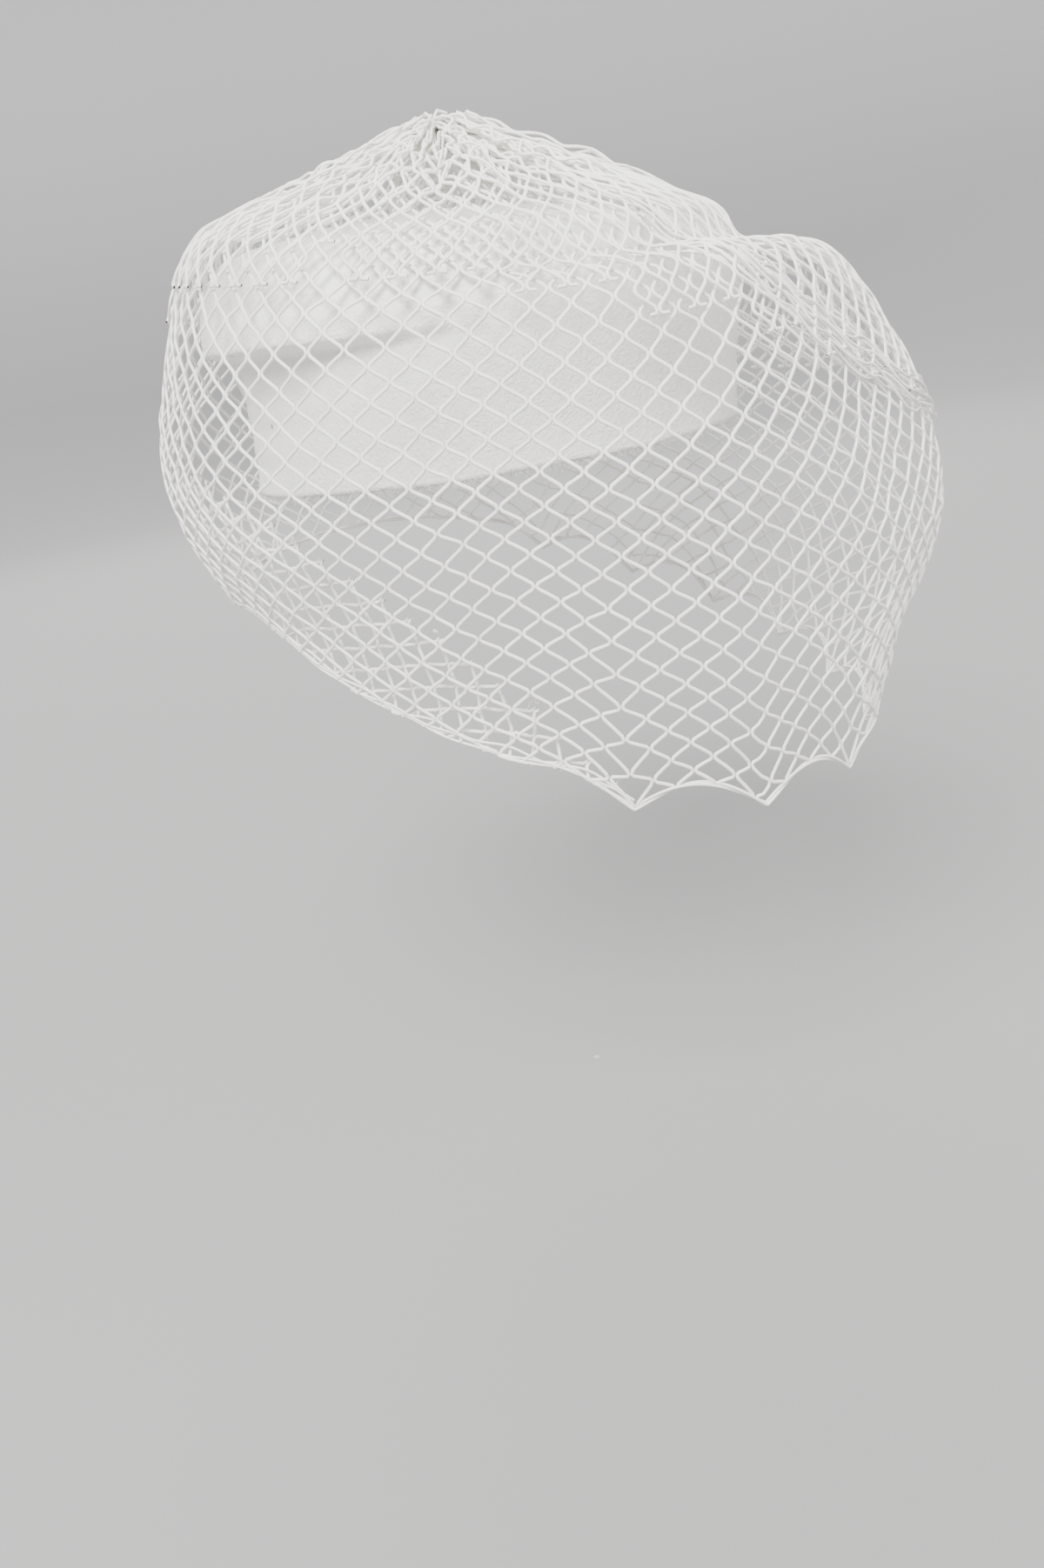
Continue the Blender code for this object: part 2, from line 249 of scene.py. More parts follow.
SPECK_COLOUR = (0.10, 0.12, 0.20, 1.0)


def ease(share):
    """Smooth step of a share from 0 to 1."""
    share = np.clip(share, 0.0, 1.0)
    return share * share * (3.0 - 2.0 * share)


def read_table(rows, keys, column=1):
    """Column of a table at each key, eased from row to row and level beyond its ends."""
    rows = np.array(rows, float)
    lower = np.clip(np.searchsorted(rows[:, 0], keys, side="right") - 1, 0, len(rows) - 2)
    share = ease((keys - rows[lower, 0]) / (rows[lower + 1, 0] - rows[lower, 0]))
    return rows[lower, column] + (rows[lower + 1, column] - rows[lower, column]) * share


def plan_radius(azimuth):
    """Radius of the oval rim at an azimuth, in degrees from the front towards the wearer's left."""
    angle = np.radians(azimuth)
    return 1.0 / np.hypot(np.sin(angle) * 2 / CROWN_WIDTH, np.cos(angle) * 2 / CROWN_LENGTH)


def lean(azimuth, radius, height):
    """Change of height that leans the top of the hat down towards its low side."""
    share = height / CROWN_HEIGHT
    reach = 2 * radius / CROWN_LENGTH
    return -CROWN_TILT * share * share * reach * np.cos(np.radians(azimuth - CROWN_LOW_SIDE))


def tuck(azimuth, height):
    """How far the felt is pushed in below the tuck, or stands out over it."""
    over = np.clip(1.0 - (height - TUCK_HEIGHT - TUCK_LIP) / TUCK_HEIGHT, 0.0, 1.0)
    share = np.clip(height / TUCK_HEIGHT, 0.0, 1.0)
    around = read_table(TUCK_ROUND, azimuth + TUCK_SLANT * (1.0 - share))
    inside = TUCK_DEPTH * read_table(TUCK_RISE, share) * around
    outside = -TUCK_OVERHANG * over * read_table(TUCK_ROUND, azimuth)
    lip = ease((height - TUCK_HEIGHT) / TUCK_LIP)
    return inside + (outside - inside) * lip


def crown_profile():
    """Radii and heights of the crown from its rim to the middle of the top, at its mean radius."""
    mean = (CROWN_WIDTH + CROWN_LENGTH) / 4
    wall_top = CROWN_HEIGHT - SHOULDER_RADIUS
    flat = mean + CROWN_FLARE - SHOULDER_RADIUS
    wall = np.concatenate([np.linspace(0.0, TUCK_HEIGHT - 0.001, WALL_STEPS),
                           np.linspace(TUCK_HEIGHT, TUCK_HEIGHT + TUCK_LIP, LIP_STEPS),
                           np.linspace(TUCK_HEIGHT + TUCK_LIP, wall_top, 4)[1:-1]])
    bend = np.linspace(0.0, math.pi / 2, BEND_STEPS)
    top = np.linspace(1.0, TOP_HOLE, TOP_STEPS)[1:]
    radii = np.concatenate([mean + CROWN_FLARE * ease(wall / wall_top),
                            flat + SHOULDER_RADIUS * np.cos(bend), flat * top])
    heights = np.concatenate([wall, wall_top + SHOULDER_RADIUS * np.sin(bend),
                              CROWN_HEIGHT + CROWN_DOME * (1.0 - top ** 2)])
    return radii / mean, heights


shares, heights = crown_profile()
felt_azimuths = np.arange(FELT_STEPS) * 360.0 / FELT_STEPS - 180.0
radii = shares[:, None] * plan_radius(felt_azimuths)[None, :]
radii -= np.where(heights[:, None] < CROWN_HEIGHT, tuck(felt_azimuths[None, :], heights[:, None]), 0.0)
felt_heights = heights[:, None] + lean(felt_azimuths[None, :], radii, heights[:, None])
felt_grid = turned(radii, felt_heights, felt_azimuths[None, :])
noise.seed_set(FELT_SEED)
for spot in felt_grid.reshape(-1, 3):
    spot += FELT_UNEVEN * np.array(noise.noise_vector(Vector(spot) / FELT_WAVE))


def bent_place(shade, place):
    """The place bent a little at random, for small marks with uneven edges."""
    wobble = shade.add("TexNoise", None, {"Vector": place, "Scale": 1500.0}, out=1)
    return shade.add("VectorMath", {"operation": "MULTIPLY_ADD"},
                     {0: wobble, 1: (SPECK_SIZE,) * 3, 2: place})


def felt_links(shade):
    """Matt felt: matted fibres in the bump, and soft cloudiness in the colour."""
    place = shade.add("TexCoord", out=3)
    cloud = shade.add("TexNoise", None, {"Vector": place, "Scale": 45.0, "Detail": 3.0})
    speckle = shade.add("TexNoise", None, {"Vector": place, "Scale": 900.0, "Detail": 4.0})
    bent = shade.add("TexNoise", None, {"Vector": place, "Scale": 260.0, "Detail": 2.0}, out=1)
    spread = shade.add("VectorMath", {"operation": "MULTIPLY_ADD"},
                       {0: bent, 1: (0.006, 0.006, 0.006), 2: place})
    fibres = shade.add("TexVoronoi", {"feature": "DISTANCE_TO_EDGE"},
                       {"Vector": spread, "Scale": 520.0})
    tone = cloud.eased(0.35, 0.70) * 0.6 + speckle.eased(0.35, 0.75) * 0.4
    clean = tone.mixed(FELT_COLOUR, FELT_SHADE)
    for azimuth, height in SPECKS:
        row = np.abs(heights - height).argmin()
        spot = felt_grid[row, np.abs(felt_azimuths - azimuth).argmin()] + 0.5 * SPECK_SIZE
        away = shade.add("VectorMath", {"operation": "DISTANCE"},
                         {0: bent_place(shade, place), 1: spot.tolist()}, out=1)
        clean = away.eased(SPECK_SIZE, 0.3 * SPECK_SIZE).mixed(clean, SPECK_COLOUR)
    relief = fibres.eased(0.0, 0.35) * 0.5 + speckle * 0.6 + cloud * 0.8
    bump = shade.add("Bump", None, {"Height": relief, "Strength": 0.45, "Distance": 0.0006})
    return {"Base Color": clean, "Normal": bump}


felt = finish("wool_felt", {"Roughness": 0.95, "Specular IOR Level": 0.2, "Sheen Weight": 0.35,
                            "Sheen Roughness": 0.6}, felt_links)
crown = grid_mesh("crown_felt", felt_grid, felt)
wall = crown.modifiers.new("thickness", "SOLIDIFY")
wall.thickness = FELT_THICKNESS
wall.offset = -1.0
wall.use_even_offset = True
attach(crown, "root")
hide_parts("crown")


# Nap: loose wool fibres that stand out of the felt, thickest along the cut rim, where they make
# a short uneven fuzz.
NAP_SEED = 7
RIM_FIBRES = 4600
RIM_FIBRE = 0.0013
WALL_FIBRES = 3200
WALL_FIBRE = 0.0016
FIBRE_RADIUS = 0.000045
FIBRE_POINTS = 5


def tube_mesh(name, paths, normals, radius, sides, material, keep=None, flat=1.0):
    """Object of tubes along paths (tube, point, xyz). radius and keep may vary from point to point.

    Each ring lies square to its path, and flat is its thickness along the normals as a share of
    its width. The UV map runs along the tube in millimetres, and once round it.
    """
    along = np.gradient(paths, axis=1)
    along /= np.maximum(np.linalg.norm(along, axis=-1, keepdims=True), 1e-9)
    across = np.cross(along, normals)
    across /= np.maximum(np.linalg.norm(across, axis=-1, keepdims=True), 1e-9)
    up = np.cross(across, along)
    angle = 2 * math.pi * np.arange(sides) / sides
    radius = np.broadcast_to(radius, paths.shape[:2])[:, :, None, None]
    rings = paths[:, :, None] + radius * (np.cos(angle)[:, None] * across[:, :, None]
                                          + flat * np.sin(angle)[:, None] * up[:, :, None])
    tubes, points = paths.shape[:2]
    index = np.arange(tubes * points * sides).reshape(tubes, points, sides)
    near, far = index[:, :-1], index[:, 1:]
    quads = np.stack([near, far, np.roll(far, -1, 2), np.roll(near, -1, 2)], axis=-1)
    steps = np.linalg.norm(np.diff(paths, axis=1), axis=-1) * 1000.0
    length = np.concatenate([np.zeros((tubes, 1)), np.cumsum(steps, axis=1)], axis=1)
    start = np.broadcast_to(length[:, :-1, None], near.shape)
    end = np.broadcast_to(length[:, 1:, None], near.shape)
    turn = np.broadcast_to(np.arange(sides) / sides, near.shape)
    further = turn + 1.0 / sides
    uv = np.stack([np.stack([start, turn], -1), np.stack([end, turn], -1),
                   np.stack([end, further], -1), np.stack([start, further], -1)], axis=-2)
    if keep is not None:
        whole = keep[:, :-1] & keep[:, 1:]
        quads, uv = quads[whole], uv[whole]
    quads = quads.reshape(-1, 4)
    used, quads = np.unique(quads, return_inverse=True)
    mesh = bpy.data.meshes.new(name)
    mesh.from_pydata(rings.reshape(-1, 3)[used].tolist(), [], quads.reshape(-1, 4).tolist())
    mesh.uv_layers.new(name="length").data.foreach_set("uv", uv.reshape(-1))
    mesh.materials.append(material)
    mesh.shade_smooth()
    made = bpy.data.objects.new(name, mesh)
    bpy.context.scene.collection.objects.link(made)
    return made


def unit(vectors):
    """Vectors drawn to a length of one."""
    return vectors / np.maximum(np.linalg.norm(vectors, axis=-1, keepdims=True), 1e-9)


def fibre_paths(roots, leans, length, chance):
    """Curved fibres from their roots along their leans, curling at random."""
    share = np.linspace(0.0, 1.0, FIBRE_POINTS)[None, :, None]
    curl = chance.normal(0.0, 0.55, roots.shape)[:, None, :]
    size = length * chance.uniform(0.3, 1.0, (len(roots), 1))[:, None, :]
    return roots[:, None, :] + size * share * (leans[:, None, :] + curl * share)


chance = np.random.default_rng(NAP_SEED)
felt_around = np.roll(felt_grid, -1, axis=1) - np.roll(felt_grid, 1, axis=1)
felt_outward = unit(np.cross(felt_around, np.gradient(felt_grid, axis=0)))
rim_step = chance.integers(0, FELT_STEPS, RIM_FIBRES)
rim_share = chance.uniform(0.0, 1.0, (RIM_FIBRES, 1))
rim_next = (rim_step + 1) % FELT_STEPS
rim_spots = felt_grid[0, rim_step] * (1 - rim_share) + felt_grid[0, rim_next] * rim_share
rim_inward = chance.uniform(0.0, FELT_THICKNESS, (RIM_FIBRES, 1))
rim_spots = rim_spots - felt_outward[0, rim_step] * rim_inward
rim_leans = unit(felt_outward[0, rim_step] * chance.uniform(-0.4, 0.8, (RIM_FIBRES, 1))
                 + np.array((0.0, 0.0, -1.0)) + chance.normal(0.0, 0.35, (RIM_FIBRES, 3)))
wall_row = chance.integers(0, len(felt_grid) - 1, WALL_FIBRES)
wall_step = chance.integers(0, FELT_STEPS, WALL_FIBRES)
wall_leans = unit(felt_outward[wall_row, wall_step] * 0.6 + chance.normal(0.0, 0.6, (WALL_FIBRES, 3)))
fibres = np.concatenate([fibre_paths(rim_spots, rim_leans, RIM_FIBRE, chance),
                         fibre_paths(felt_grid[wall_row, wall_step], wall_leans, WALL_FIBRE, chance)])
fibre_sides = unit(chance.normal(0.0, 1.0, (len(fibres), 1, 3))) * np.ones((1, FIBRE_POINTS, 1))
fibre_wool = finish("loose_wool", {"Base Color": FELT_COLOUR, "Roughness": 0.9, "Sheen Weight": 0.3})
nap = tube_mesh("crown_nap", fibres, fibre_sides, FIBRE_RADIUS, 3, fibre_wool)
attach(nap, "root")


# Veil: one piece of stiffened white net laid over the crown. Pairs of threads zigzag from the
# gathered peak down to the hem and are fused side by side wherever they meet.
NET_THICKNESS = 0.0012
SEAT_CLEARANCE = 0.0017
PEAK_RISE = 0.023
STAND_OFF = 0.052
VEIL_DROP = 0.098
UPPER_SHARE = 0.60
SCALLOP_DEPTH = 0.008
SCALLOP_ARC = 20.0
SCALLOPS_FROM = -27.0
SCALLOPS_TO = 153.0
FIRST_POINT = -17.0
EDGE_END = -115.0
VEIL_COLUMNS = ("azimuth", "crest", "shoulder", "upper", "belly", "belly_drop", "hem", "hem_drop")
VEIL_SECTIONS = (
    (-180, 0.66, 0.02, 0.28, 0.40, -0.04, 0.13, 0.29),
    (-150, 0.64, 0.08, 0.26, 0.42, -0.05, 0.13, 0.29),
    (-120, 0.62, 0.12, 0.25, 0.42, -0.06, 0.14, 0.35),
    (-90, 0.62, 0.09, 0.20, 0.35, 0.00, 0.12, 0.355),
    (-60, 0.64, 0.04, 0.17, 0.27, 0.06, 0.14, 0.59),
    (-30, 0.66, 0.00, 0.17, 0.25, 0.12, 0.22, 0.80),
    (0, 0.68, 0.02, 0.28, 0.48, 0.20, 0.44, 0.94),
    (30, 0.68, 0.03, 0.44, 0.77, 0.30, 0.50, 0.96),
    (60, 0.68, 0.01, 0.62, 1.00, 0.37, 0.36, 0.88),
    (90, 0.68, 0.02, 0.54, 0.88, 0.30, 0.34, 0.76),
    (120, 0.68, 0.08, 0.42, 0.67, 0.15, 0.28, 0.58),
    (150, 0.68, 0.10, 0.32, 0.50, 0.00, 0.18, 0.39),
)
SECTION_STEP = 30.0
CELL_WIDTH = 0.0113
CELL_SIDE = 0.00705
THREAD_RADIUS = 0.00052
THREAD_FLAT = 0.82
KNOT_SPREAD = 0.00034
KNOT_SHARE = 0.13
THREAD_SAMPLES = (0.0, 0.2, 0.5, 0.8)
THREAD_SIDES = 6
KNOT_JITTER = (0.00022, 0.00022, 0.00030)
NET_SEED = 11
PLEAT_DEPTH = 0.0020
PLEAT_WAVES = ((1.0, 15, 1.1, 3), (0.6, 37, 2.0, 2))
BILLOW = 0.0016
BILLOW_WAVES = ((1.0, 5, 9.0, 0.0), (0.6, 11, -6.0, 1.0), (0.4, 3, 3.5, 0.0))
NET_COLOUR = (0.90, 0.885, 0.835, 1.0)
NET_SHADE = (0.82, 0.80, 0.74, 1.0)
CURVE_STEPS = 14
SHOULDER_CONTROL = 3
TABLE_STEP = 1.0
ROW_STEP = 0.25
TOP_ROW = -14.0
LAST_ROW = 60.0
SCALLOP_SHARPNESS = 9
INNER_REACH = 0.38
OUTER_REACH = 0.78
OUTER_RISE = 0.12
OUTER_CREST = 0.25
SHOULDER_ANGLES = (72.0, 45.0, 18.0)
PEAK_ROW = -12.0
LEAST_WIDTH = 0.030
HEAP = 0.0009
HEAP_WIDTH = 0.22
HEAP_PHASE = 2.4
NARROWEST = 0.12
WIDEST = 1.2
SPREAD_LIMIT = 0.30
END_MARGIN = 0.3
FADE_ROWS = 2.0


def around_table(azimuth, name):
    """Column of the veil's table at azimuths, on a smooth curve through its rows and round."""
    values = np.array([row[VEIL_COLUMNS.index(name)] for row in VEIL_SECTIONS])
    spot = (np.asarray(azimuth) + 180.0) / SECTION_STEP
    lower = np.floor(spot).astype(int)
    share = spot - lower
    before, start, end, after = (values[(lower + k) % len(values)] for k in (-1, 0, 1, 2))
    return 0.5 * (2 * start + (end - before) * share
                  + (2 * before - 5 * start + 4 * end - after) * share ** 2
                  + (3 * start - before - 3 * end + after) * share ** 3)


def scallop(azimuth):
    """Depth of the scallops in the hem, 1 at a point and 0 at the crest between two."""
    wave = 1.0 - np.abs(np.cos(np.pi * (azimuth - SCALLOPS_FROM) / SCALLOP_ARC))
    return np.where((azimuth >= SCALLOPS_FROM) & (azimuth <= SCALLOPS_TO), wave, 0.0)


def meridians(azimuth):
    """Lines of the net from the peak to the hem, as radius and height, one line for each azimuth."""
    table = {name: around_table(azimuth, name) for name in VEIL_COLUMNS[1:]}
    edge = plan_radius(azimuth) + CROWN_FLARE
    flat = edge - SHOULDER_RADIUS
    wall_top = CROWN_HEIGHT - SHOULDER_RADIUS
    top = CROWN_HEIGHT + CROWN_DOME
    over = SHOULDER_RADIUS + SEAT_CLEARANCE + NET_THICKNESS / 2 + table["shoulder"] * STAND_OFF
    controls = [(0 * flat, top + PEAK_RISE + 0 * flat),
                (INNER_REACH * flat, top + table["crest"] * PEAK_RISE),
                (OUTER_REACH * flat, top + (OUTER_RISE + OUTER_CREST * table["crest"]) * PEAK_RISE)]
    for angle in np.radians(SHOULDER_ANGLES):
        controls.append((flat + over * np.cos(angle), wall_top + over * np.sin(angle)))
    controls += [(edge + table["upper"] * STAND_OFF, UPPER_SHARE * CROWN_HEIGHT + 0 * edge),
                 (edge + table["belly"] * STAND_OFF, -table["belly_drop"] * VEIL_DROP),
                 (edge + table["hem"] * STAND_OFF, -table["hem_drop"] * VEIL_DROP)]
    points = np.array(controls).transpose(2, 0, 1)
    points[..., 1] += lean(azimuth[:, None], points[..., 0], np.maximum(points[..., 1], 0.0))
    padded = np.concatenate([points[:, 1:2] * (-1.0, 1.0), points,
                             2 * points[:, -1:] - points[:, -2:-1]], axis=1)
    share = np.linspace(0.0, 1.0, CURVE_STEPS, endpoint=False)[None, None, :, None]
    before, start, end, after = (padded[:, k:k + points.shape[1] - 1, None] for k in range(4))
    line = 0.5 * (2 * start + (end - before) * share
                  + (2 * before - 5 * start + 4 * end - after) * share ** 2
                  + (3 * start - before - 3 * end + after) * share ** 3)
    return np.concatenate([line.reshape(len(points), -1, 2), points[:, -1:]], axis=1)


def running(steps):
    """Running sum along the last axis, from zero."""
    return np.concatenate([np.zeros(steps.shape[:-1] + (1,)), np.cumsum(steps, axis=-1)], axis=-1)


azimuths = np.arange(-180.0, 180.0 + TABLE_STEP / 2, TABLE_STEP)
lines = meridians(azimuths)
along = running(np.linalg.norm(np.diff(lines, axis=1), axis=-1))
belly = plan_radius(azimuths) + CROWN_FLARE + around_table(azimuths, "belly") * STAND_OFF
belly_places = turned(belly, 0.0, azimuths)
belly_run = running(np.linalg.norm(np.diff(belly_places, axis=0), axis=-1)[None, :])[0]
COLUMNS = round(belly_run[-1] / CELL_WIDTH)
widths = CELL_WIDTH * lines[..., 0] / belly[:, None]
row_heights = 0.5 * np.sqrt(np.maximum((2 * CELL_SIDE) ** 2 - widths ** 2, CELL_SIDE ** 2))
mean_heights = (row_heights[:, 1:] + row_heights[:, :-1]) / 2
line_rows = running(np.diff(along, axis=1) / mean_heights)
line_rows -= line_rows[:, [SHOULDER_CONTROL * CURVE_STEPS]]

# Rows of the net run level round the rim, and are evened out where the scalloped edge is the
# woven edge of the net itself, so that the same row reaches it all along.
EVENED = ((-45, 0.0), (-17, 1.0), (95, 1.0), (143, 0.0))
evened = read_table(EVENED, azimuths) * np.where(azimuths > SCALLOPS_TO, 0.0, 1.0)
EDGE_ROW = round(float(np.interp(FIRST_POINT, azimuths, line_rows[:, -1])))
line_rows *= (1.0 + evened * (EDGE_ROW / line_rows[:, -1] - 1.0))[:, None]
hem_rows = line_rows[:, -1]
rows = np.arange(TOP_ROW, LAST_ROW + ROW_STEP / 2, ROW_STEP)


def net_places():
    """Places of the net at each azimuth and row, with the scallops drawn into its last rows."""
    places = np.zeros((len(azimuths), len(rows), 3))
    for index, azimuth in enumerate(azimuths):
        line, total = lines[index], along[index, -1]
        last = (line[-1] - line[-2]) / np.linalg.norm(line[-1] - line[-2])
        reached = np.interp(rows, line_rows[index], along[index])
        beyond = np.maximum(rows - hem_rows[index], 0.0) * CELL_SIDE / 2
        share = np.clip(reached / total, 0.0, 1.0)
        reached = reached + beyond
        reached = reached + SCALLOP_DEPTH * (scallop(azimuth) - 0.5) * share ** SCALLOP_SHARPNESS
        inside = np.minimum(reached, total)
        radius = np.interp(inside, along[index], line[:, 0]) + (reached - inside) * last[0]
        height = np.interp(inside, along[index], line[:, 1]) + (reached - inside) * last[1]
        places[index] = turned(radius, height, np.full(len(rows), azimuth))
    return places


def grid_normals(grid):
    """Outward normals of a grid (azimuth, row, xyz) whose first and last azimuths meet."""
    around = np.gradient(grid, axis=0)
    around[0] = around[-1] = (grid[1] - grid[-2]) / 2
    return unit(np.cross(np.gradient(grid, axis=1), around))


# Pleats gather towards the peak, and billows grow where the net stands off the felt. Each is a sum
# of waves round the hat: their size, their count, and how they bend or lean from row to row.
net_grid = net_places()
angle = np.radians(azimuths)[:, None]
top_share = np.clip(rows / TOP_ROW, 0.0, 1.0)[None, :]
pleats = sum(size * np.cos(count * angle + bend * np.sin(turns * angle))
             for size, count, bend, turns in PLEAT_WAVES)
billows = sum(size * np.sin(count * angle + rows[None, :] / reach + phase)
              for size, count, reach, phase in BILLOW_WAVES)
out_of_rim = np.hypot(net_grid[..., 0], net_grid[..., 1]) - plan_radius(azimuths)[:, None]
stand = np.clip(out_of_rim / STAND_OFF, 0, 1)
relief = PLEAT_DEPTH * pleats * np.sin(np.pi * top_share) ** 0.8 + BILLOW * billows * stand
net_grid = net_grid + relief[..., None] * grid_normals(net_grid)
net_normals = grid_normals(net_grid)


def read_grid(grid, azimuth, row):
    """Value of a grid (azimuth, row, ...) at azimuths and rows between its own."""
    across = (np.mod(azimuth + 180.0, 360.0)) / TABLE_STEP
    down = np.clip((row - TOP_ROW) / ROW_STEP, 0, len(rows) - 1.001)
    left, upper = np.floor(across).astype(int), np.floor(down).astype(int)
    right_share, lower_share = (across - left)[..., None], (down - upper)[..., None]
    near = grid[left, upper] * (1 - lower_share) + grid[left, upper + 1] * lower_share
    far = grid[left + 1, upper] * (1 - lower_share) + grid[left + 1, upper + 1] * lower_share
    return near * (1 - right_share) + far * right_share


def column_azimuth(half_column):
    """Azimuth of a half column of the net, counted from the back."""
    share = np.mod(half_column / (2 * COLUMNS), 1.0)
    return np.interp(share * belly_run[-1], belly_run, azimuths)


def hem_row(half_column):
    """Row at which the net reaches its hem or fold."""
    return np.interp(column_azimuth(half_column), azimuths, hem_rows)


def half_column_at(azimuth):
    """Half column at an azimuth, counted from the back."""
    return np.interp(azimuth, azimuths, belly_run) / belly_run[-1] * 2 * COLUMNS


def zigzag(thread, row, spread):
    """Half column of a thread at a row: it swings from one knot to the next and runs beside them."""
    phase = np.mod(row + thread, 2.0)
    swing = 1.0 - np.abs(1.0 - phase)
    swing = np.clip((swing - KNOT_SHARE) / (1.0 - 2.0 * KNOT_SHARE), 0.0, 1.0)
    return thread + spread + (1.0 - 2.0 * spread) * swing


def knot_shift(thread, row, shifts):
    """Chance shift of the knots, shared by the two threads of each and carried along between."""
    first = np.floor(row).astype(int)
    share = (row - first)[..., None]
    ends = []
    for number in (first, first + 1):
        knot = thread + np.mod(thread + number, 2)
        ends.append(shifts[np.mod(knot, shifts.shape[0]), np.mod(number, shifts.shape[1])])
    return ends[0] * (1.0 - share) + ends[1] * share


def net_links(shade):
    """Stiffened cotton: a fine twist along each thread, and dull creamy patches of dressing."""
    length = shade.add("UVMap", {"uv_map": "length"})
    parts = shade.add("SeparateXYZ", None, {0: length})
    turns = Shade(shade.tree, parts.socket.node.outputs[1])
    twist = shade.maths("SINE", (parts * 1.6 + turns) * (2 * math.pi))
    place = shade.add("TexCoord", out=3)
    cloud = shade.add("TexNoise", None, {"Vector": place, "Scale": 60.0, "Detail": 2.0})
    grain = shade.add("TexNoise", None, {"Vector": place, "Scale": 2600.0, "Detail": 2.0})
    bump = shade.add("Bump", None, {"Height": twist * 0.35 + grain, "Strength": 0.35,
                                    "Distance": 0.00012})
    return {"Base Color": cloud.eased(0.40, 0.70).mixed(NET_COLOUR, NET_SHADE), "Normal": bump}


net = finish("stiffened_net", {"Roughness": 0.55, "Specular IOR Level": 0.35, "Sheen Weight": 0.15},
             net_links)
net_chance = np.random.default_rng(NET_SEED)
net_shifts = net_chance.normal(0.0, 1.0, (2 * COLUMNS, 80, 3)) * np.array(KNOT_JITTER)


def lay_threads(name, threads, top_row, end_row, where, out=0.0, slide=0.0):
    """Object of zigzag threads, from top_row down to end_row(thread, half column).

    where(half column, row) gives places, normals and how much of the net's full width is left there.
    """
    thread = np.array(threads)[:, None]
    whole_rows = np.arange(math.floor(top_row), math.ceil(LAST_ROW))
    row = (whole_rows[:, None] + np.array(THREAD_SAMPLES)[None, :]).reshape(1, -1) + 0.0 * thread
    full = where(thread + 0.5 + slide, row)[2]
    half_width = CELL_WIDTH / 2
    knot_width = half_width * np.clip(full, NARROWEST, WIDEST)
    spread = np.clip(KNOT_SPREAD / knot_width, 0.0, SPREAD_LIMIT)
    column = zigzag(thread, row, spread) + slide
    shift = knot_shift(thread + 0 * row.astype(int), row, net_shifts)
    limit = end_row(thread, column)
    row_kept = (row > top_row) & (row < limit + END_MARGIN) & (full > LEAST_WIDTH)
    row = np.clip(row, top_row, limit)
    fade = np.clip((limit - row) / FADE_ROWS, 0.0, 1.0)
    column = column + shift[..., 0] * fade / half_width
    place, normal, _ = where(column, row + shift[..., 1] * fade / half_width)
    heap = HEAP * np.clip(1.0 - full / HEAP_WIDTH, 0.0, 1.0) * np.sin(HEAP_PHASE * thread)
    place = place + (out + shift[..., 2] * fade + heap)[..., None] * normal
    made = tube_mesh(name, place, normal, THREAD_RADIUS, THREAD_SIDES, net, row_kept, THREAD_FLAT)
    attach(made, "root")
    return made


def on_veil(half_column, row):
    """Places, normals and share of the full width on the veil."""
    azimuth = column_azimuth(half_column)
    place = read_grid(net_grid, azimuth, row)
    full = np.linalg.norm(place[..., :2], axis=-1) / np.interp(azimuth, azimuths, belly)
    return place, unit(read_grid(net_normals, azimuth, row)), full


def to_hem(_, half_column):
    """Row at which a thread of the veil ends."""
    return hem_row(half_column)


THIRD = (0, round(2 * COLUMNS / 3), round(4 * COLUMNS / 3), 2 * COLUMNS)
veil = [lay_threads(f"veil_net_{side}", range(THIRD[k], THIRD[k + 1]), PEAK_ROW, to_hem, on_veil)
        for k, side in enumerate(("right", "front", "left"))]
for piece in veil:
    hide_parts("veil")


# Second layer of the same net over the upper front and the left: the free part of the piece is
# folded back over the crown, half a cell out of step, and its gathered edge runs down the left.
STUB_ROWS = 0.22
LAYER_OUT = 0.0017
LAYER_SLIDE = 0.9
LAYER_EDGE = (
    (-180, 0.046), (-90, 0.056), (-60, 0.055), (-30, 0.0495), (-18, 0.041), (-8, 0.0366), (1, 0.030),
    (16, 0.022), (26, 0.015), (36, 0.003), (60, -0.006), (90, -0.002), (120, 0.020), (150, 0.040),
    (180, 0.046),
)
LEVEL_STEP = 0.0005
LEVEL_LOW = -0.112
LEVEL_HIGH = 0.060

levels = np.arange(LEVEL_LOW, LEVEL_HIGH, LEVEL_STEP)
open_rows = rows >= 0.0
level_rows = np.array([np.interp(-levels, -line[open_rows, 2], rows[open_rows]) for line in net_grid])


def row_at(azimuth, height):
    """Row of the veil at an azimuth and height."""
    across = np.mod(azimuth + 180.0, 360.0) / TABLE_STEP
    up = np.clip((height - levels[0]) / LEVEL_STEP, 0, len(levels) - 1.001)
    left, lower = np.floor(across).astype(int), np.floor(up).astype(int)
    right_share, upper_share = across - left, up - lower
    near = level_rows[left, lower] * (1 - upper_share) + level_rows[left, lower + 1] * upper_share
    beyond = left + 1
    far = level_rows[beyond, lower] * (1 - upper_share) + level_rows[beyond, lower + 1] * upper_share
    return near * (1 - right_share) + far * right_share


def layer_end(thread, _):
    """Row at which the second layer ends: the last knot, where a thread meets its neighbour."""
    azimuth = column_azimuth(2 * np.ceil(thread / 2) + LAYER_SLIDE)
    return 2 * np.floor(row_at(azimuth, read_table(LAYER_EDGE, azimuth)) / 2) + STUB_ROWS


layer = lay_threads("veil_layer", range(2 * COLUMNS), PEAK_ROW, layer_end, on_veil, LAYER_OUT, LAYER_SLIDE)


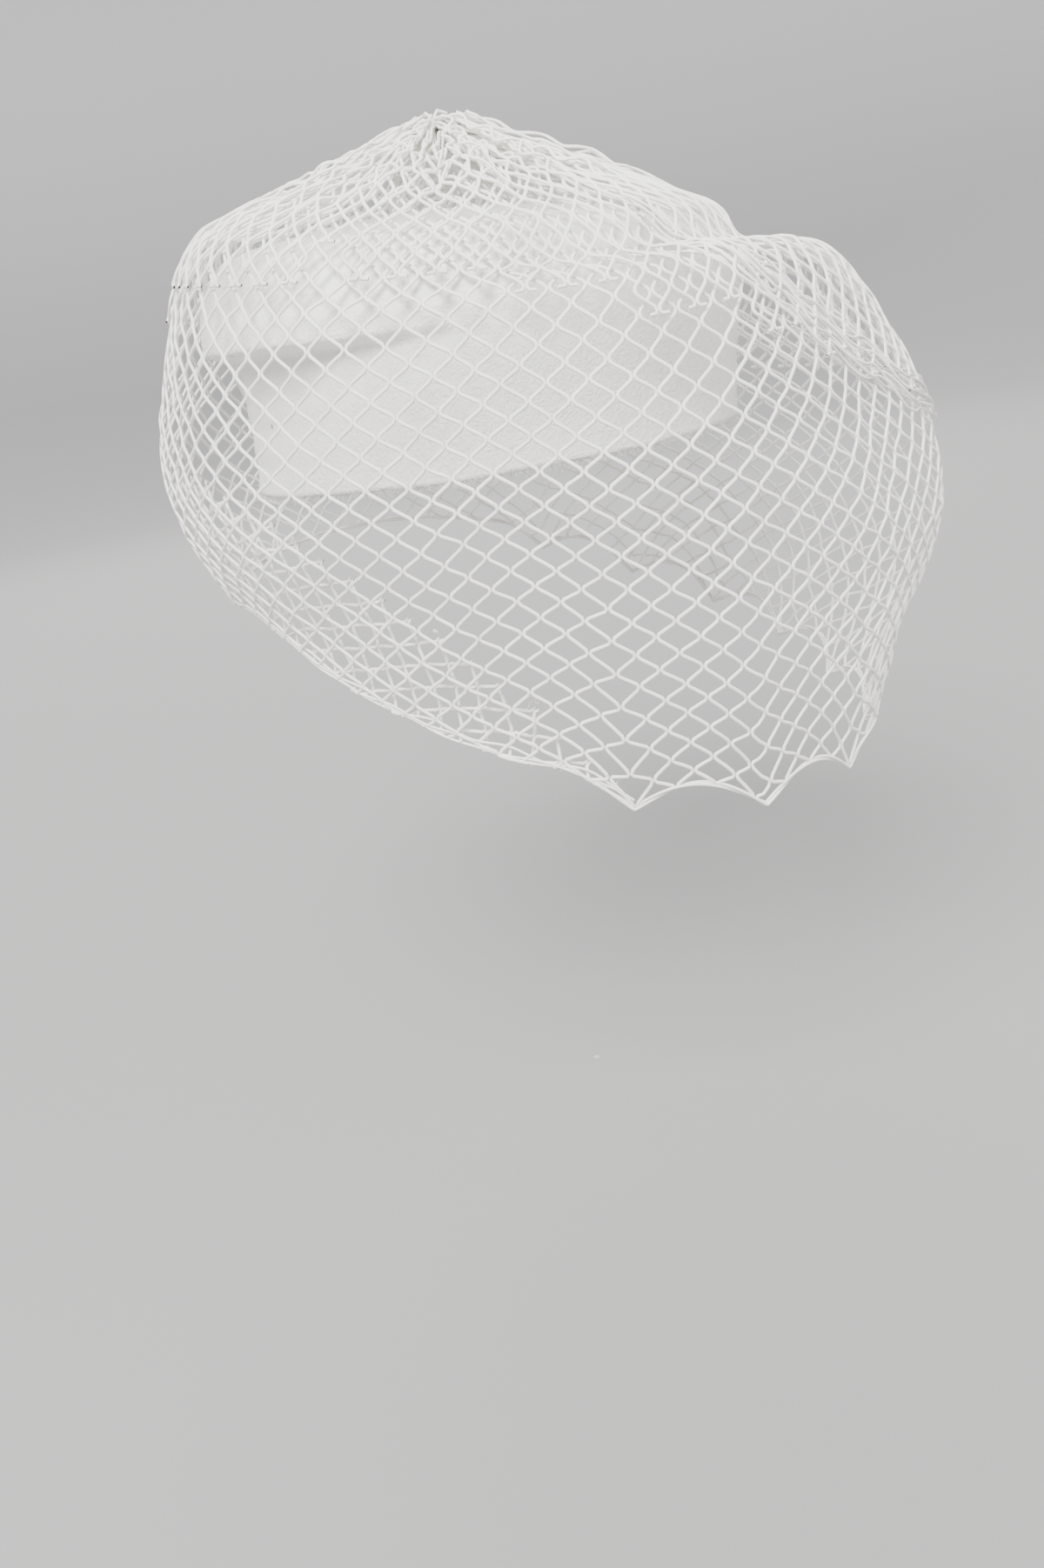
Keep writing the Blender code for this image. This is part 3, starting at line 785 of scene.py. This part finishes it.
# Turned-up strip: on the wearer's right the cut edge of the net is folded up inside the hem. Its
# rows run along the cut edge, whose knots stand out as small points with the stubs of the threads.
CUT_EDGE = (
    (-117, 0.004), (-110, 0.007), (-103, 0.009), (-96, 0.0095), (-89, 0.008), (-82, 0.004),
    (-76, 0.000), (-71, -0.004), (-67, -0.010), (-63, -0.015), (-58, -0.021), (-53, -0.027),
    (-49, -0.033), (-44, -0.039), (-39, -0.0455), (-35, -0.052), (-30, -0.060), (-27, -0.068),
    (-23, -0.0755), (-19, -0.083),
)
STRIP_ROW = 0.0042
STRIP_RADIUS = 0.088
STRIP_GAP = 0.0028
STRIP_BEND = 0.0030
STRIP_LAST_ROW = 30.0
FOLD_MARGIN = 0.002

edge_az, edge_height = np.array(CUT_EDGE).T
edge_flat = np.stack([np.radians(edge_az) * STRIP_RADIUS, edge_height], axis=-1)
edge_smooth = edge_flat.copy()
for _ in range(3):
    edge_smooth[1:-1] = (edge_smooth[:-2] + 2 * edge_smooth[1:-1] + edge_smooth[2:]) / 4
edge_along = unit(np.gradient(edge_smooth, axis=0))
edge_inward = np.stack([edge_along[:, 1], -edge_along[:, 0]], axis=-1)


def on_strip(half_column, row):
    """Places, normals and share of the full width on the strip, at half columns from its left end."""
    spot = half_column / 2.0
    knots = np.arange(len(edge_az))
    flat = np.stack([np.interp(spot, knots, edge_flat[:, k]) for k in (0, 1)], axis=-1)
    inward = unit(np.stack([np.interp(spot, knots, edge_inward[:, k]) for k in (0, 1)], axis=-1))
    flat = flat + inward * (row * STRIP_ROW)[..., None]
    azimuth = np.degrees(flat[..., 0] / STRIP_RADIUS)
    fold = read_grid(net_grid, azimuth, np.interp(azimuth, azimuths, hem_rows))[..., 2]
    over_fold = flat[..., 1] - fold
    veil_row = row_at(azimuth, np.maximum(flat[..., 1], fold))
    normal = unit(read_grid(net_normals, azimuth, veil_row))
    gap = STRIP_GAP * (1.0 - np.exp(-np.maximum(over_fold, 0.0) / STRIP_BEND))
    place = read_grid(net_grid, azimuth, veil_row) - gap[..., None] * normal
    return place, normal, np.where(over_fold > -FOLD_MARGIN, 1.0, 0.0)


def past_fold(_, half_column):
    """Row past the fold, where every thread of the strip has ended."""
    return STRIP_LAST_ROW + 0.0 * half_column


strip = lay_threads("veil_turned_strip", range(2 * len(CUT_EDGE) - 2), -STUB_ROWS, past_fold, on_strip)


# Hem cord: two threads of the net's woven edge, lightly twisted, that run along the scallops from
# the front point round the left and the back. Along the fold slack threads of the strip run beside it.
CORD_STEP = 0.08
CORD_TURN = 7.0
CORD_RADIUS = 0.00045
CORD_SPREAD = 0.00040
SLACK_RADIUS = 0.00036
SLACK_THREADS = ((0.0002, 0.0003, 0.4), (0.0011, 0.0005, 2.1), (0.0022, 0.0008, 4.4))
SLACK_SPREAD = 0.0001
CORD_FROM = -21.0
WANDER_WAVES = ((1.0, 1.7, 1), (0.6, 0.63, 2))


def lay_cord(name, column, row, strands, radius):
    """Object of strands at half columns and rows: each has a rise, wander, phase, lift and spread."""
    paths, normals = [], []
    for rise, wander, phase, lift, spread in strands:
        place, normal, _ = on_veil(column, row - rise / (CELL_SIDE / 2))
        down = unit(np.cross(np.gradient(place, axis=0), normal))
        turn = 2 * math.pi * column / CORD_TURN + phase
        wave = sum(size * np.sin(rate * column + times * phase) for size, rate, times in WANDER_WAVES)
        place = place + (lift + spread * np.cos(turn))[:, None] * normal
        place = place + (spread * np.sin(turn) + wander * wave)[:, None] * down
        paths.append(place)
        normals.append(normal)
    made = tube_mesh(name, np.array(paths), np.array(normals), radius, THREAD_SIDES, net)
    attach(made, "root")
    return made


woven = [(0.0, 0.0, phase, 0.0, CORD_SPREAD) for phase in (0.0, math.pi)]
slack = [(rise, wander, phase, 0.0, SLACK_SPREAD) for rise, wander, phase in SLACK_THREADS]
edge_columns = np.arange(half_column_at(CORD_FROM), half_column_at(EDGE_END) + 2 * COLUMNS, CORD_STEP)
fold_columns = np.arange(half_column_at(EDGE_END), half_column_at(FIRST_POINT), CORD_STEP)
cord = lay_cord("veil_hem_cord", edge_columns, hem_row(edge_columns), woven, CORD_RADIUS)
fold_threads = lay_cord("veil_fold_threads", fold_columns, hem_row(fold_columns), slack, SLACK_RADIUS)


# Gathered ridge: from the dip in the top outline a band of drawn-up net runs down to the left,
# its threads lying close together over the rest.
RIDGE = ((6, 0.058), (11, 0.048), (19, 0.034), (25, 0.024), (35, 0.010), (46, -0.001), (57, -0.008))
RIDGE_THREADS = 9
RIDGE_WIDTH = 0.0085
RIDGE_LIFT = 0.0016
RIDGE_SPREAD = 0.0008
RIDGE_WANDER = 0.0007
RIDGE_PHASE = 2.4
RIDGE_POINTS = 160

ridge_az = np.linspace(RIDGE[0][0], RIDGE[-1][0], RIDGE_POINTS)
ridge_columns = half_column_at(ridge_az)
ridge_rows = row_at(ridge_az, read_table(RIDGE, ridge_az))
ridge_lines = [(RIDGE_WIDTH * (k / (RIDGE_THREADS - 1) - 0.5), RIDGE_WANDER, RIDGE_PHASE * k,
                RIDGE_LIFT, RIDGE_SPREAD) for k in range(RIDGE_THREADS)]
ridge = lay_cord("veil_ridge", ridge_columns, ridge_rows, ridge_lines, SLACK_RADIUS)


# Loose ends: fine fibres that have sprung free at the cut edge and curl there.
CURLS = ((-31, -0.0595, 0.0042, 1.0), (-44, -0.0372, 0.0026, -1.0), (-71, -0.0030, 0.0030, 1.0))
CURL_RADIUS = 0.00013
CURL_POINTS = 14
CURL_SIDES = 5
CURL_TURN = 5.2
CURL_CLOSING = 1.5
CURL_LEAN = 0.45
CURL_RISE = 0.8
CURL_LOOP = 0.28

curl_paths, curl_sides = [], []
for azimuth, height, size, way in CURLS:
    start = on_veil(half_column_at(azimuth), row_at(np.array(azimuth), np.array(height)))
    share = np.linspace(0.0, 1.0, CURL_POINTS)
    across = unit(np.cross((0.0, 0.0, 1.0), start[1]))
    spin = CURL_TURN * share ** CURL_CLOSING
    sideways = size * (CURL_LEAN * share + CURL_LOOP * way * (1 - np.cos(spin)))
    upward = size * (CURL_RISE * share + CURL_LOOP * np.sin(spin))
    inward = STRIP_GAP * (1.0 - 0.5 * share)
    path = start[0] + sideways[:, None] * across - inward[:, None] * start[1]
    path[:, 2] += upward
    curl_paths.append(path)
    curl_sides.append(np.broadcast_to(start[1], path.shape))
curls = tube_mesh("veil_loose_ends", np.array(curl_paths), np.array(curl_sides), CURL_RADIUS, CURL_SIDES,
                  net)
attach(curls, "root")


# Gather tie: sewing thread wound round the drawn-up middle of the net.
TIE_RADIUS = 0.0042
TIE_TURNS = 6
TIE_RISE = 0.0016
TIE_THREAD = 0.00022
TIE_POINTS = 48
TIE_BELOW = 0.0009
TIE_UNEVEN = 0.0004
TIE_WAVER = 0.0002

turn = np.linspace(0.0, 2 * math.pi * TIE_TURNS, TIE_POINTS * TIE_TURNS)
tie_spin = np.stack([np.cos(turn), np.sin(turn), 0 * turn], axis=-1)
peak = CROWN_HEIGHT + CROWN_DOME + PEAK_RISE
tie_path = tie_spin * (TIE_RADIUS + TIE_UNEVEN * np.sin(5.3 * turn))[:, None]
tie_path[:, 2] = (peak - TIE_BELOW + TIE_RISE * (turn / turn[-1] - 0.5)
                  + TIE_WAVER * np.sin(3.1 * turn))
tie = tube_mesh("gather_tie", tie_path[None], tie_spin[None], TIE_THREAD, THREAD_SIDES, net)
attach(tie, "root")


# Flat lengths: the net is one piece of cloth, made here in thirds round the hat. The mean length of the
# rows in flat net is worked out for each third and for the second layer, and is not used further.
ROW_HEIGHT = 0.5 * math.sqrt((2 * CELL_SIDE) ** 2 - CELL_WIDTH ** 2)


def flat_length(first, last, limits):
    """Length of the cut between two half columns: its rows, at their height where the net is flat."""
    steps = np.arange(first, last)
    middle = np.interp(column_azimuth(steps), azimuths, line_rows[:, 0])
    return float(np.mean(limits(steps, steps) - middle)) * ROW_HEIGHT


for piece, first, last in zip(veil, THIRD, THIRD[1:]):
    flat_length(first, last, to_hem)
flat_length(0, 2 * COLUMNS, layer_end)
